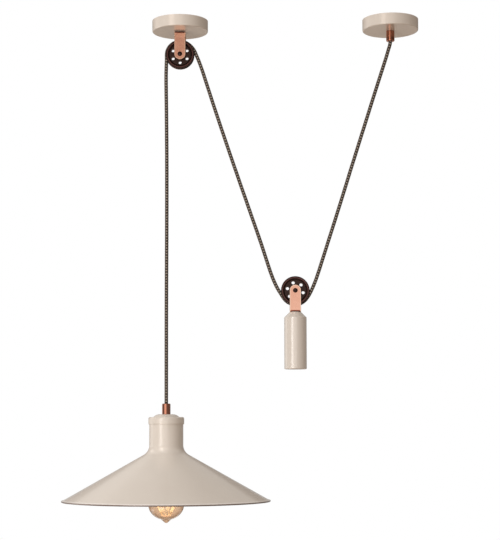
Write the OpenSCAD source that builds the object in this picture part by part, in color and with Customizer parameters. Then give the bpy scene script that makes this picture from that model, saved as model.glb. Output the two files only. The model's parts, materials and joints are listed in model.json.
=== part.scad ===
// Rise and fall pendant. A wide metal shade hangs on a fabric flex. The flex runs up over
// a pulley under one ceiling rose, down under a pulley on a counterweight, and up into the
// cord grip of a second ceiling rose. Lift the shade and the counterweight sinks.
//
// The origin is the centre of the pulley rose on the ceiling. +Z is up, and the feed rose
// stands to the right, along +X. Lengths are in millimetres.

/* [Ceiling roses] */
// Diameter of both ceiling roses
rose_d = 100; // [90:1:120]
// Depth of the roses below the ceiling
rose_h = 20; // [19:0.5:30]
// Wall of the rose cups
rose_wall = 1.2; // [1:0.1:1.8]
// Rounding of the lower edge of the rose cups
rose_round = 2; // [1.9:0.1:4]
// Distance between the centres of the two roses
rose_spacing = 378; // [340:1:460]
// Distance between the two ceiling screw holes of a rose
fixing_spacing = 60; // [56:1:70]
// Diameter of the ceiling screw holes
fixing_hole_d = 5; // [4:0.1:6]
// Width of the mounting bars
bar_w = 20; // [16:1:24]
// Thickness of the mounting bars
bar_t = 2; // [1.5:0.1:2.5]
// Length of the mounting bar in the pulley rose
pulley_bar_l = 84; // [78:1:88]
// Length of the bent ends of the mounting bar in the feed rose
bar_tab_l = 10; // [9:0.5:12]
// Diameter of the side screws that hold the feed rose's cup
side_screw_d = 4; // [3:0.1:5]

/* [Pulley wheels] */
// Diameter of the pulley wheels
wheel_d = 51; // [49.4:0.1:52]
// Width of a wheel over its rims
wheel_w = 12; // [11:0.1:13]
// Thickness of a wheel's web
web_t = 7; // [5:0.1:8]
// Diameter of the flat web inside a wheel's raised rim
dish_d = 38; // [36:0.1:39]
// Width of the slope from the web up to the raised rim
rim_slope = 3; // [1:0.1:3]
// Diameter of a wheel's hub
hub_d = 16; // [13:0.1:20]
// Diameter of the circle that the lightening holes stand on
hole_circle_d = 28.8; // [27:0.1:30]
// Diameter of the lightening holes
hole_d = 5.7; // [4:0.1:6]
// Number of lightening holes in a wheel
hole_count = 6; // [3:1:8]
// Angle of the first lightening hole of the upper wheel
upper_hole_angle = 30; // [0:1:60]
// Angle of the first lightening hole of the lower wheel
lower_hole_angle = 45; // [0:1:60]
// Radius at which the middle of the flex runs round a wheel
flex_path_r = 24.5; // [24.2:0.1:25]
// Diameter of the bronze bushes
bush_d = 9; // [8:0.1:10]
// Diameter of the axle pins
axle_d = 5; // [4:0.1:6]
// Radial running clearance between an axle pin and its bush
running_gap = 0.05; // [0.02:0.01:0.09]

/* [Pulley brackets] */
// Width of the bracket strap
strap_w = 20; // [16:1:24]
// Thickness of the bracket strap
strap_t = 2; // [1.5:0.1:2.5]
// Outer radius of the strap's bends
strap_bend_r = 3; // [2.8:0.1:4]
// Chamfer along the outer edges of the strap
strap_edge = 0.4; // [0.2:0.05:0.6]
// Gap between a wheel's rim and the strap
strap_gap = 1; // [0.9:0.05:1.4]
// Side play between a hub and its spacer washers
side_play = 0.2; // [0.1:0.05:0.3]
// Diameter of the spacer washers
spacer_d = 10; // [8:0.1:12]
// Depth of the upper axle below the pulley rose
upper_reach = 41; // [38:0.5:50]
// Height of the lower axle above the counterweight
lower_reach = 38; // [36:0.5:46]
// Diameter of the bolts that hold the brackets
bolt_d = 6; // [5:0.1:7]
// Diameter of the bolts' button heads
bolt_head_d = 11; // [9:0.1:13]
// Height of the bolts' button heads
bolt_head_h = 3.3; // [2.5:0.1:4]
// Diameter of the axles' button heads
axle_head_d = 8.5; // [7.5:0.1:10]
// Height of the axles' button heads
axle_head_h = 2.2; // [1.5:0.1:3]
// Width across the flats of the axle nuts
axle_nut_w = 8; // [7.5:0.1:10]
// Height of the axle nuts
axle_nut_h = 4; // [3:0.1:5]
// Width across the flats of the nuts on the bracket bolt
bolt_nut_w = 10; // [9:0.1:13]
// Height of the nuts on the bracket bolt
bolt_nut_h = 5; // [4:0.1:6]

/* [Counterweight] */
// Distance from the pulley rose's centre to the counterweight's axis
weight_x = 205.3; // [200:0.1:214]
// Depth of the counterweight's top below the ceiling
weight_drop = 525.7; // [500:0.1:560]
// Diameter of the counterweight
weight_d = 40; // [36:0.5:50]
// Height of the counterweight
weight_h = 102; // [80:1:140]
// Height and width of the chamfer round the counterweight's top
weight_chamfer = 10; // [6:0.5:12]
// Rounding of the counterweight's lower edge
weight_round = 2; // [1:0.5:4]
// Depth of the bolt in the counterweight
weight_thread_l = 15; // [10:1:20]

/* [Flex, cord grips and nipples] */
// Diameter of the fabric flex
flex_d = 6.5; // [6:0.1:6.6]
// Diameter of the cores inside the flex
core_d = 1.8; // [1.4:0.1:2]
// Diameter of the cord grips
grip_d = 15; // [13:0.5:18]
// Length of the cord grips
grip_l = 19; // [17:0.5:24]
// Diameter of the bore that the flex passes through
grip_bore_d = 6.8; // [6.7:0.1:7]
// Diameter of the clamping screws in the grips
grip_screw_d = 3; // [2.5:0.1:4]
// Outer diameter of the hollow nipples
nipple_d = 10; // [9.5:0.1:10.5]
// Depth of the nipples inside the grips
nipple_depth = 8; // [6:0.5:9]
// Width across the flats of the nipple nuts
nipple_nut_w = 14; // [13:0.5:16]
// Height of the nipple nuts
nipple_nut_h = 3; // [2:0.5:4]

/* [Shade] */
// Depth of the lamp grip's top below the ceiling
lamp_drop = 688; // [600:0.1:900]
// Outer diameter of the shade at its rim
shade_d = 370; // [300:1:450]
// Angle of the shade's cone from the vertical
shade_angle = 60.6; // [50:0.1:66]
// Wall of the shade
shade_wall = 1; // [0.8:0.1:1.5]
// Outer diameter of the shade's neck
neck_d = 60.5; // [58:0.5:70]
// Length of the neck above the flare
neck_l = 48.3; // [44:0.1:60]
// Radius of the flare between neck and cone
flare_r = 20; // [10:1:40]
// Diameter of the bead round the rim
bead_d = 3; // [2.4:0.1:4]
// Diameter of the cap's collar
cap_d = 63.6; // [63.3:0.1:72]
// Height of the cap's collar
cap_collar_h = 13; // [8:0.5:20]
// Diameter of the flat top of the cap's dome
cap_flat_d = 24; // [18:0.5:26]
// Diameter of the cap's dome where it meets the collar
cap_dome_d = 46; // [44:0.1:50]
// Height of the cap's dome
cap_dome_h = 5; // [4:0.5:8]
// Wall of the cap
cap_wall = 1.2; // [1:0.1:1.3]

/* [Lampholder and bulb] */
// Diameter of the lampholder
holder_d = 40; // [38:0.5:44]
// Height of the lampholder's cap
holder_cap_h = 28; // [26:0.5:32]
// Height of the lampholder's skirt below its cap
holder_skirt_h = 38; // [36:0.5:42]
// Wall of the lampholder's cap
holder_wall = 1.5; // [1:0.1:2]
// Diameter of the bulb's screw cap over its thread
screw_d = 26.2; // [26:0.1:26.4]
// Length of the bulb's screw cap
screw_l = 21; // [18:0.5:24]
// Diameter of the glass bulb
bulb_d = 63.2; // [56:0.1:70]
// Length of the bulb from its contact to its tip
bulb_l = 143.3; // [140:0.1:152]
// Height of the bulb's widest place above its tip
bulb_wide_h = 32; // [32:0.5:36]
// Height of the round end below the bulb's widest place
bulb_round_h = 26.5; // [24:0.5:28]
// Radius of the sealed tip under the bulb
pip_r = 4.6; // [3:0.1:5]
// Wall of the glass bulb
glass_t = 0.7; // [0.5:0.1:1]
// Number of long loops in the filament
filament_loops = 9; // [6:1:12]
// Height of the filament's upper hooks above the bulb's tip
cage_top_h = 44; // [40:0.5:50]
// Diameter of the circle of the filament's upper hooks
cage_top_d = 47; // [36:1:48]
// Height of the filament's lower hooks above the bulb's tip
cage_bottom_h = 14; // [12:0.5:20]
// Diameter of the circle of the filament's lower hooks
cage_bottom_d = 16; // [12:1:24]

/* [Hidden] */

$fn = 96;
cut = 1; // how far a cutting body runs past the face it cuts

// Colours
cream = [0.86, 0.81, 0.75];
copper = [0.75, 0.48, 0.34];
dark_brown = [0.16, 0.11, 0.09];
steel = [0.62, 0.62, 0.62];
brass = [0.80, 0.66, 0.35];
bronze = [0.62, 0.45, 0.25];
ceramic = [0.90, 0.89, 0.85];
phenolic = [0.10, 0.09, 0.08];
amber = [0.85, 0.60, 0.30, 0.6];
glow = [1.00, 0.80, 0.35];
flex_cloth = [0.42, 0.38, 0.33];

// Clearances
hole_gap = 0.2; // round a bolt, pin or nipple in the hole of a sheet
thread_gap = 0.05; // between the two halves of a screw thread
tab_gap = 0.3; // between the feed bar's bent ends and the rose cup
flex_gap = 0.35; // between the flex and a wheel's groove
contact_gap = 0.3; // between the bulb's contact and the lampholder's
shell_gap = 0.4; // between the bulb's screw cap and the lampholder's shell

// Ceiling roses
rose_r = rose_d / 2;
rose_inner_r = rose_r - rose_wall;
side_screw_z = -rose_h / 2 + 1;

// Parts inside the feed rose. Places along X are from the feed rose's centre.
block_x = 8; // near side of the terminal block
block_w = 14;
block_l = 25;
block_h = 11;
block_z = -bar_t - block_h; // underside of the block
block_pitch = 8; // between the three ways
way_r = 1.7; // bore for a wire
way_z = -bar_t - block_h / 2;
terminal_r = 1.5; // terminal screws
terminal_sink = 0.5; // depth of the terminal screws' heads in the block
block_screw_r = 1.4;
block_screw_y = block_pitch / 2;
block_head_d = 5.5;
block_head_h = 1.6;
earth_x = -15;
earth_r = 2;
earth_head_d = 7.5;
earth_head_h = 2.2;
core_spread = core_d * 0.6; // from the flex's middle to the middle of a core

// Wheels and brackets
wheel_r = wheel_d / 2;
rim_half = wheel_w / 2;
web_half = web_t / 2;
ear_half = rim_half + strap_gap; // middle plane to the inner face of an ear
bracket_half = ear_half + strap_t; // middle plane to the outer face of an ear
spacer_t = strap_gap;
hub_half = ear_half - spacer_t - side_play;
axle_r = axle_d / 2;
bush_bore_r = axle_r + running_gap;
groove_r = flex_d / 2 + flex_gap;
upper_axle_z = -rose_h - upper_reach;
weight_top_z = -weight_drop;
lower_axle_z = weight_top_z + lower_reach;

// Lamp, from the top down
feed_x = rose_spacing;
lamp_x = -flex_path_r;
grip_top_z = -lamp_drop;
cap_top_z = grip_top_z - grip_l;
cap_shoulder_z = cap_top_z - cap_dome_h;
shade_top_z = cap_shoulder_z - cap_wall;
lamp_nut_z = shade_top_z - shade_wall; // upper face of the nut under the shade
neck_corner = 2; // rounding of the shade's top
flare_c = [neck_d / 2 + flare_r, shade_top_z - neck_l]; // middle of the flare's arc
cap_corner = 3; // rounding of the top of the cap's collar
cap_turn_r = 4; // radius of the collar's turned in lower edge
cap_turn = 35; // angle that the lower edge turns through
holder_top_z = lamp_nut_z - nipple_nut_h;
holder_edge = 3; // rounding of the lampholder's top
nipple_end = 4; // length of the nipple inside the lampholder
nipple_bottom_z = holder_top_z - holder_wall - nipple_end;
skirt_top_z = holder_top_z - holder_cap_h;
skirt_bottom_z = skirt_top_z - holder_skirt_h;
skirt_band_h = 8; // knurled band of the skirt, as wide as the cap
skirt_taper = 1.5; // step from the band to the skirt's taper
skirt_foot_t = 2; // wall at the skirt's foot
core_r = holder_d / 2 - holder_wall - 1;
core_h = 12;
core_rise = 6; // height of the ceramic core above the skirt's shoulder
core_top_z = skirt_top_z + core_rise;
core_bottom_z = core_top_z - core_h;
tongue_h = 4.4; // centre contact's tongue
tongue_top_r = 4;
tongue_tip_r = 2.5;
shell_t = 1; // wall of the lampholder's screw shell
shell_r = screw_d / 2 + shell_gap; // inside of the lampholder's screw shell
shell_h = 26;
bulb_top_z = core_bottom_z - tongue_h - contact_gap;
bulb_tip_z = bulb_top_z - bulb_l;
contact_h = 1.8;
contact_r = 4.8;
insulator_h = 3.6;
screw_top_z = bulb_top_z - contact_h - insulator_h;
screw_bottom_z = screw_top_z - screw_l;
screw_shoulder = 2.5; // depth of the screw cap's shoulder
thread_pitch = 3.6;
thread_ridge = 0.6; // height of the thread
glass_neck_r = screw_d / 2 - 1.6;
insulator_r = glass_neck_r - 3; // foot of the insulator on the screw cap
glass_neck_z = screw_bottom_z + 8; // top of the glass, inside the screw cap
glass_flare = 1.4; // step of the glass from the screw cap to the bulb
bulb_wide_z = bulb_tip_z + bulb_wide_h;
stem_r = 3.4; // glass tube that carries the rod
stem_flare_h = 14; // where the flare has narrowed to the tube, below the glass's top
stem_l = 50; // from the glass's top to the tube's end
mount_r = 1.6; // glass rod that carries the filament's hooks
cage_top_z = bulb_tip_z + cage_top_h;
cage_bottom_z = bulb_tip_z + cage_bottom_h;
cage_top_r = cage_top_d / 2;
cage_bottom_r = cage_bottom_d / 2;
wire_r = 0.25; // support wires
filament_r = 0.3;
hook_r = 0.7; // curled ends of the support wires
grip_screw_z = nipple_depth + 3.5; // clamping screws, above a grip's seat

// The flex's route, from the lamp to the feed rose, chosen by hand along the middle of the
// flex. Each stretch starts where the one before ends, with the same heading.
drop_top = [lamp_x, 0, -66];
drop_points = [drop_top, [-24.7, 0, -75], [-25.3, 0, -95], [-25.2, 0, -120],
    [-24.8, 0, -150], [-24.4, 0, -190], [-24, 0, -240], [-23.9, 0, -290],
    [-23.9, 0, -340], [-24, 0, -390], [-24.2, 0, -440], [-24.4, 0, -490],
    [-24.5, 0, -540], [-24.5, 0, -590], [-24.5, 0, -640], [-24.5, 0, -680],
    [-24.5, 0, -699]];
over_points = concat([drop_top],
    [for (a = [180 : -15 : 60]) [flex_path_r * cos(a), 0, upper_axle_z + flex_path_r * sin(a)]],
    [[17.5, 0, -43.5], [22, 0, -48.3], [25.9, 0, -54.1], [28.9, 0, -61], [33, 0, -71]]);
left_points = [[33, 0, -71], [38.9, 0, -87], [45.7, 0, -108], [52.1, 0, -128],
    [58.8, 0, -149], [66, 0, -171], [72.9, 0, -192], [79.9, 0, -213], [86.9, 0, -234],
    [94.3, 0, -256], [101.5, 0, -277], [108.6, 0, -298], [115.9, 0, -319],
    [123.1, 0, -340], [130.3, 0, -361], [137.6, 0, -382], [144.7, 0, -403],
    [151.5, 0, -424], [157.9, 0, -444], [163.5, 0, -460.5], [168.8, 0, -473.5],
    [174.9, 0, -485.7]];
under_points = concat([[174.9, 0, -485.7], [179.8, 0, -493.7], [184.3, 0, -500.7]],
    [for (a = [225 : 15 : 315])
        [weight_x + flex_path_r * cos(a), 0, lower_axle_z + flex_path_r * sin(a)]],
    [[226.3, 0, -500.7], [230.7, 0, -493.9], [234.8, 0, -485.7]]);
right_points = [[234.8, 0, -485.7], [240.6, 0, -472], [246.3, 0, -456], [253.1, 0, -435],
    [259.9, 0, -414], [266.6, 0, -393], [273.4, 0, -372], [280.1, 0, -351],
    [286.8, 0, -330], [293.4, 0, -309], [300.1, 0, -287.5], [306.8, 0, -266],
    [313.5, 0, -245], [320.1, 0, -224], [326.8, 0, -203], [333.5, 0, -182],
    [340.3, 0, -160.5], [347, 0, -139.5], [353.6, 0, -119], [359.9, 0, -99.5],
    [365.6, 0, -82], [370.6, 0, -66.5], [374.6, 0, -53], [377.1, 0, -44.5], [378, 0, -38],
    [378, 0, -28]];
down = [0, 0, -1];
up = [0, 0, 1];
left_start = [0.39, 0, -1]; // heading where the left leg leaves the upper wheel
left_end = [0.58, 0, -1]; // heading where the left leg meets the lower wheel
right_start = [0.46, 0, 1]; // heading where the right leg leaves the lower wheel

// ---------------------------------------------------------------- shared shapes

// Points along an arc round c, from angle a0 to angle a1
function arc(c, r, a0, a1, n = 8) =
    [for (i = [0 : n]) let(a = a0 + (a1 - a0) * i / n) c + r * [cos(a), sin(a)]];

function reversed(p) = [for (i = [len(p) - 1 : -1 : 0]) p[i]];

function unit(v) = v / norm(v);

// Direction of a route at one of its points
function heading(p, i, first, last) =
    i == 0 ? unit(first)
    : i == len(p) - 1 ? unit(last)
    : unit(unit(p[i + 1] - p[i]) + unit(p[i] - p[i - 1]));

// A tube's ring of n points round c, square to the heading t
function tube_ring(c, t, r, n) =
    let(side = unit([0, 1, 0] - t[1] * t), top = cross(t, side))
    [for (k = [0 : n - 1]) let(a = 360 * (k + 0.5) / n) c + r * (cos(a) * side + sin(a) * top)];

// A solid tube along the points p
module tube(p, first, last, r, n = 8) {
    last_ring = n * (len(p) - 1);
    points = [for (i = [0 : len(p) - 1]) each tube_ring(p[i], heading(p, i, first, last), r, n)];
    sides = [for (i = [0 : len(p) - 2], k = [0 : n - 1])
        let(a = n * i + k, b = n * i + (k + 1) % n) [a, b, b + n, a + n]];
    start_face = [for (k = [n - 1 : -1 : 0]) k];
    end_face = [for (k = [0 : n - 1]) last_ring + k];
    polyhedron(points = points, faces = concat([start_face], sides, [end_face]), convexity = 4);
}

// A tube with a round bore, along Z
module sleeve(outer_r, inner_r, z0, z1) {
    translate([0, 0, z0]) difference() {
        cylinder(r = outer_r, h = z1 - z0);
        translate([0, 0, -cut]) cylinder(r = inner_r, h = z1 - z0 + 2 * cut);
    }
}

// A hexagonal nut from z = 0 up
module hex_nut(width, height, bore_r) {
    difference() {
        linear_extrude(height) circle(r = width / sqrt(3), $fn = 6);
        translate([0, 0, -cut]) cylinder(r = bore_r, h = height + 2 * cut);
    }
}

// A button head bolt. The head's seat is at z = 0, the shank runs up and the head down.
module button_bolt(d, l, head_d, head_h) {
    head_r = head_d / 2;
    dome_r = (head_r * head_r + head_h * head_h) / (2 * head_h);
    socket_h = head_h * 0.55;
    difference() {
        rotate_extrude() union() {
            square([d / 2, l]);
            intersection() {
                translate([0, dome_r - head_h]) circle(r = dome_r);
                translate([0, -head_h]) square([head_r, head_h]);
            }
        }
        translate([0, 0, -head_h - cut])
            linear_extrude(socket_h + cut) circle(r = head_r * 0.42, $fn = 6);
    }
}

// A rod from p to q
module rod(p, q, r, n = 6) {
    v = q - p;
    translate(p) rotate([0, acos(v[2] / norm(v)), atan2(v[1], v[0])])
        cylinder(r = r, h = norm(v), $fn = n);
}

// ---------------------------------------------------------------- ceiling roses

// Cream cup, open to the ceiling
module rose_cup(centre_hole_d, side_holes) {
    r = rose_round;
    difference() {
        rotate_extrude() polygon(concat(
            [[centre_hole_d / 2, -rose_h]],
            arc([rose_r - r, -rose_h + r], r, 270, 360),
            [[rose_r, 0], [rose_inner_r, 0]],
            reversed(arc([rose_r - r, -rose_h + r], r - rose_wall, 270, 360)),
            [[centre_hole_d / 2, -rose_h + rose_wall]]));
        if (side_holes) for (s = [-1, 1])
            translate([s * rose_r, 0, side_screw_z]) rotate([0, 90, 0])
                cylinder(d = side_screw_d + 2 * hole_gap, h = 4 * rose_wall, center = true);
    }
}

// Ceiling screw holes of a mounting bar
module fixing_holes() {
    for (s = [-1, 1]) translate([s * fixing_spacing / 2, 0, -bar_t - cut])
        cylinder(d = fixing_hole_d, h = bar_t + 2 * cut);
}

module pulley_rose_bar() color(steel) difference() {
    translate([-pulley_bar_l / 2, -bar_w / 2, -bar_t]) cube([pulley_bar_l, bar_w, bar_t]);
    fixing_holes();
    translate([0, 0, -bar_t - cut]) cylinder(d = bolt_d + 2 * hole_gap, h = bar_t + 2 * cut);
}

module pulley_rose_nut() color(steel)
    translate([0, 0, -bar_t - bolt_nut_h])
        hex_nut(bolt_nut_w, bolt_nut_h, bolt_d / 2 + thread_gap);

module pulley_rose_cup() color(cream) rose_cup(bolt_d + 2 * hole_gap, false);

module bracket_lock_nut() color(steel)
    translate([0, 0, -rose_h + rose_wall])
        hex_nut(bolt_nut_w, bolt_nut_h, bolt_d / 2 + thread_gap);

module bracket_bolt() color(steel)
    translate([0, 0, -rose_h - strap_t])
        button_bolt(bolt_d, rose_h + strap_t - bar_t / 2, bolt_head_d, bolt_head_h);

module feed_rose_bar() {
    tab_r = rose_inner_r - tab_gap;
    color(steel) translate([feed_x, 0, 0]) difference() {
        intersection() {
            translate([0, 0, -bar_t - bar_tab_l]) cylinder(r = tab_r, h = bar_t + bar_tab_l);
            translate([-rose_r, -bar_w / 2, -rose_h]) cube([rose_d, bar_w, rose_h]);
        }
        translate([0, 0, -rose_h - bar_t]) cylinder(r = tab_r - bar_t, h = rose_h);
        fixing_holes();
        translate([0, 0, side_screw_z]) rotate([0, 90, 0])
            cylinder(d = side_screw_d, h = rose_d, center = true);
        translate([block_x + block_w / 2, block_screw_y, -bar_t - cut])
            cylinder(r = block_screw_r + thread_gap, h = bar_t + 2 * cut);
        translate([earth_x, 0, -bar_t - cut])
            cylinder(r = earth_r + thread_gap, h = bar_t + 2 * cut);
    }
}

module feed_rose_cup() color(cream)
    translate([feed_x, 0, 0]) rose_cup(nipple_d + 2 * hole_gap, true);

// Flush screws through the feed cup's side into the bent ends of its bar
module feed_rose_screws() {
    l = rose_wall + tab_gap + bar_t + 1;
    color(steel) for (s = [-1, 1])
        translate([feed_x + s * (rose_r - 0.3), 0, side_screw_z]) rotate([0, -s * 90, 0])
            difference() {
                cylinder(r = side_screw_d / 2 - thread_gap, h = l);
                translate([0, 0, -cut]) linear_extrude(cut + 1)
                    circle(r = side_screw_d * 0.27, $fn = 6);
            }
}

// ---------------------------------------------------------------- parts inside the feed rose

module at_ways() for (k = [-1 : 1]) translate([0, k * block_pitch, 0]) children();

module terminal_block() color(ceramic) translate([feed_x, 0, 0]) difference() {
    translate([block_x, -block_l / 2, block_z]) cube([block_w, block_l, block_h]);
    at_ways() translate([block_x - cut, 0, way_z]) rotate([0, 90, 0])
        cylinder(r = way_r, h = block_w + 2 * cut);
    at_ways() for (x = [0.25, 0.75])
        translate([block_x + block_w * x, 0, block_z - cut])
            cylinder(r = terminal_r + thread_gap, h = block_h / 2 + cut);
    translate([block_x + block_w / 2, block_screw_y, block_z - cut])
        cylinder(r = block_screw_r + thread_gap, h = block_h + 2 * cut);
}

module terminal_screws() color(brass) translate([feed_x, 0, 0])
    at_ways() for (x = [0.25, 0.75])
        translate([block_x + block_w * x, 0, block_z + terminal_sink]) difference() {
            cylinder(r = terminal_r, h = block_h / 2 - way_r - terminal_sink);
            translate([-terminal_r - cut, -0.25, -cut])
                cube([2 * (terminal_r + cut), 0.5, cut + 0.6]);
        }

module terminal_block_screw() color(steel)
    translate([feed_x + block_x + block_w / 2, block_screw_y, block_z])
        button_bolt(2 * block_screw_r, block_h + bar_t - 0.2, block_head_d, block_head_h);

module earth_screw() color(brass) translate([feed_x + earth_x, 0, -bar_t])
    button_bolt(2 * earth_r, bar_t - 0.2, earth_head_d, earth_head_h);

// Three cores, from the flex's end in the grip up to the terminal block
module feed_cores() {
    start_z = -rose_h - nipple_depth;
    color(brass) translate([feed_x, 0, 0]) for (k = [-1 : 1]) {
        a = 120 * k;
        from = [core_spread * cos(a), core_spread * sin(a), start_z];
        end = [block_x + 2, k * block_pitch, way_z];
        rise = [from[0], from[1], -rose_h + rose_wall + nipple_nut_h + 0.5];
        bend = [2.8 + from[0] / 2, k * block_pitch * 0.45, way_z - 2.6];
        tube([from, rise, bend, [6, k * block_pitch * 0.9, way_z - 0.3], end],
            up, [1, 0, 0], core_d / 2);
    }
}

// ---------------------------------------------------------------- cord grips

// Cord grip with its seat at z = 0 and its rounded mouth at the top
module cord_grip() {
    r = grip_d / 2;
    bore_r = grip_bore_d / 2;
    edge = 1.8;
    mouth = min(1.5, r - edge - bore_r);
    difference() {
        rotate_extrude() polygon(concat(
            [[nipple_d / 2, 0], [r - 0.4, 0], [r, 0.4]],
            arc([r - edge, grip_l - edge], edge, 0, 90),
            arc([bore_r + mouth, grip_l - mouth], mouth, 90, 180),
            [[bore_r, nipple_depth], [nipple_d / 2, nipple_depth]]));
        translate([0, 0, grip_screw_z]) rotate([-90, 0, 0])
            cylinder(d = grip_screw_d, h = grip_d);
    }
}

// Clamping screw in the back of a cord grip
module cord_grip_screw() {
    from = flex_d / 2 + 0.1;
    translate([0, grip_d / 2 - 0.4, grip_screw_z]) rotate([90, 0, 0]) difference() {
        cylinder(r = grip_screw_d / 2 - thread_gap, h = grip_d / 2 - 0.4 - from);
        translate([0, 0, -cut]) linear_extrude(cut + 1) circle(r = grip_screw_d * 0.27, $fn = 6);
    }
}

module at_feed_grip() translate([feed_x, 0, -rose_h]) mirror([0, 0, 1]) children();

module at_lamp_grip() translate([lamp_x, 0, cap_top_z]) children();

module feed_grip() color(copper) at_feed_grip() cord_grip();

module feed_grip_screw() color(steel) at_feed_grip() cord_grip_screw();

module feed_nipple() color(steel) at_feed_grip()
    sleeve(nipple_d / 2 - thread_gap, grip_bore_d / 2, -rose_wall - nipple_nut_h - 0.5,
        nipple_depth - 0.2);

module feed_nipple_nut() color(steel) translate([feed_x, 0, -rose_h + rose_wall])
    hex_nut(nipple_nut_w, nipple_nut_h, nipple_d / 2);

module lamp_grip() color(copper) at_lamp_grip() cord_grip();

module lamp_grip_screw() color(steel) at_lamp_grip() cord_grip_screw();

module lamp_nipple() color(steel) translate([lamp_x, 0, 0])
    sleeve(nipple_d / 2 - thread_gap, grip_bore_d / 2, nipple_bottom_z,
        cap_top_z + nipple_depth - 0.2);

module lamp_nipple_nut() color(steel) translate([lamp_x, 0, holder_top_z])
    hex_nut(nipple_nut_w, nipple_nut_h, nipple_d / 2);

// ---------------------------------------------------------------- pulleys

// Pulley wheel round Z: hub, dished web with holes, raised rim and round groove
module wheel(first_hole) {
    edge = 0.7;
    side = [[bush_d / 2, hub_half], [hub_d / 2 - edge, hub_half], [hub_d / 2, web_half],
        [dish_d / 2, web_half], [dish_d / 2 + rim_slope, rim_half],
        [wheel_r - edge, rim_half], [wheel_r, rim_half - edge]];
    difference() {
        rotate_extrude() difference() {
            polygon(concat(side, reversed([for (p = side) [p[0], -p[1]]])));
            translate([flex_path_r, 0]) circle(r = groove_r);
            polygon([[flex_path_r, groove_r], [wheel_r + cut, groove_r + cut],
                [wheel_r + cut, -groove_r - cut], [flex_path_r, -groove_r]]);
        }
        for (k = [0 : hole_count - 1]) rotate(first_hole + 360 * k / hole_count)
            translate([hole_circle_d / 2, 0, 0])
                cylinder(d = hole_d, h = wheel_w + 2 * cut, center = true);
    }
}

// Folded strap with two ears. The axle runs along Y through the origin and the base's
// outer face is at z = reach.
module strap_bracket(reach) {
    difference() {
        intersection() {
            rotate([90, 0, 90]) translate([0, 0, -strap_w / 2]) linear_extrude(strap_w)
                difference() {
                    fold_outline(bracket_half, reach, strap_bend_r);
                    translate([0, -cut]) fold_outline(ear_half, reach - strap_t + cut,
                        strap_bend_r - strap_t);
                }
            union() {
                along_axle() rotate_extrude() intersection() {
                    chamfered(strap_w / 2, bracket_half, strap_edge);
                    translate([0, -bracket_half]) square([strap_w / 2, 2 * bracket_half]);
                }
                linear_extrude(reach) chamfered(strap_w / 2, bracket_half, strap_edge);
            }
            rotate([90, 0, 0]) translate([0, 0, -bracket_half - cut])
                linear_extrude(2 * (bracket_half + cut))
                    chamfered(strap_w / 2, reach, strap_edge);
        }
        rotate([90, 0, 0])
            cylinder(r = axle_r + hole_gap, h = 2 * (bracket_half + cut), center = true);
        translate([0, 0, reach - strap_t - cut])
            cylinder(d = bolt_d + 2 * hole_gap, h = strap_t + 2 * cut);
    }
}

// A rectangle round the origin with chamfered corners
module chamfered(x, y, edge) polygon([
    for (s = [[1, 1], [-1, 1], [-1, -1], [1, -1]])
        each s[0] == s[1] ? [[s[0] * x, s[1] * (y - edge)], [s[0] * (x - edge), s[1] * y]]
            : [[s[0] * (x - edge), s[1] * y], [s[0] * x, s[1] * (y - edge)]]]);

// Outline of the folded strap from the side, with two round corners at the top
module fold_outline(half, top, r) {
    translate([-half, -strap_w]) square([2 * half, top - r + strap_w]);
    translate([-half + r, -strap_w]) square([2 * (half - r), top + strap_w]);
    for (s = [-1, 1]) translate([s * (half - r), top - r]) circle(r = r);
}

module at_upper() translate([0, 0, upper_axle_z]) children();

module at_lower() translate([weight_x, 0, lower_axle_z]) children();

// Turns a shape round Z into one round Y, with its top towards the front
module along_axle() rotate([90, 0, 0]) children();

module axle() along_axle() translate([0, 0, bracket_half]) mirror([0, 0, 1])
    button_bolt(axle_d, 2 * bracket_half + axle_nut_h + 0.5, axle_head_d, axle_head_h);

module axle_nut() along_axle() translate([0, 0, -bracket_half - axle_nut_h])
    hex_nut(axle_nut_w, axle_nut_h, axle_r + thread_gap);

module spacers() along_axle() {
    sleeve(spacer_d / 2, axle_r + thread_gap, ear_half - spacer_t, ear_half);
    sleeve(spacer_d / 2, axle_r + thread_gap, -ear_half, -ear_half + spacer_t);
}

module bush() along_axle() sleeve(bush_d / 2, bush_bore_r, -hub_half, hub_half);

module upper_bracket() color(copper) at_upper() strap_bracket(upper_reach);

module upper_axle() color(dark_brown) at_upper() axle();

module upper_axle_nut() color(dark_brown) at_upper() axle_nut();

module upper_spacers() color(steel) at_upper() spacers();

module upper_wheel() color(dark_brown) at_upper() along_axle() wheel(upper_hole_angle);

module upper_bush() color(bronze) at_upper() bush();

module lower_bracket() color(copper) at_lower() mirror([0, 0, 1]) strap_bracket(lower_reach);

module lower_axle() color(dark_brown) at_lower() axle();

module lower_axle_nut() color(dark_brown) at_lower() axle_nut();

module lower_spacers() color(steel) at_lower() spacers();

module lower_wheel() color(dark_brown) at_lower() along_axle() wheel(lower_hole_angle);

module lower_bush() color(bronze) at_lower() bush();

// ---------------------------------------------------------------- counterweight

module weight_bolt() color(steel) translate([weight_x, 0, weight_top_z + strap_t])
    mirror([0, 0, 1])
        button_bolt(bolt_d, strap_t + weight_thread_l - 1, bolt_head_d, bolt_head_h);

module counterweight() {
    r = weight_d / 2;
    color(cream) translate([weight_x, 0, weight_top_z]) rotate_extrude() polygon(concat(
        [[0, -weight_h]],
        arc([r - weight_round, -weight_h + weight_round], weight_round, 270, 360),
        [[r, -weight_chamfer], [r - weight_chamfer, 0],
            [bolt_d / 2 + thread_gap, 0], [bolt_d / 2 + thread_gap, -weight_thread_l],
            [0, -weight_thread_l - 1.5]]));
}

// ---------------------------------------------------------------- shade and cap

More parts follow.
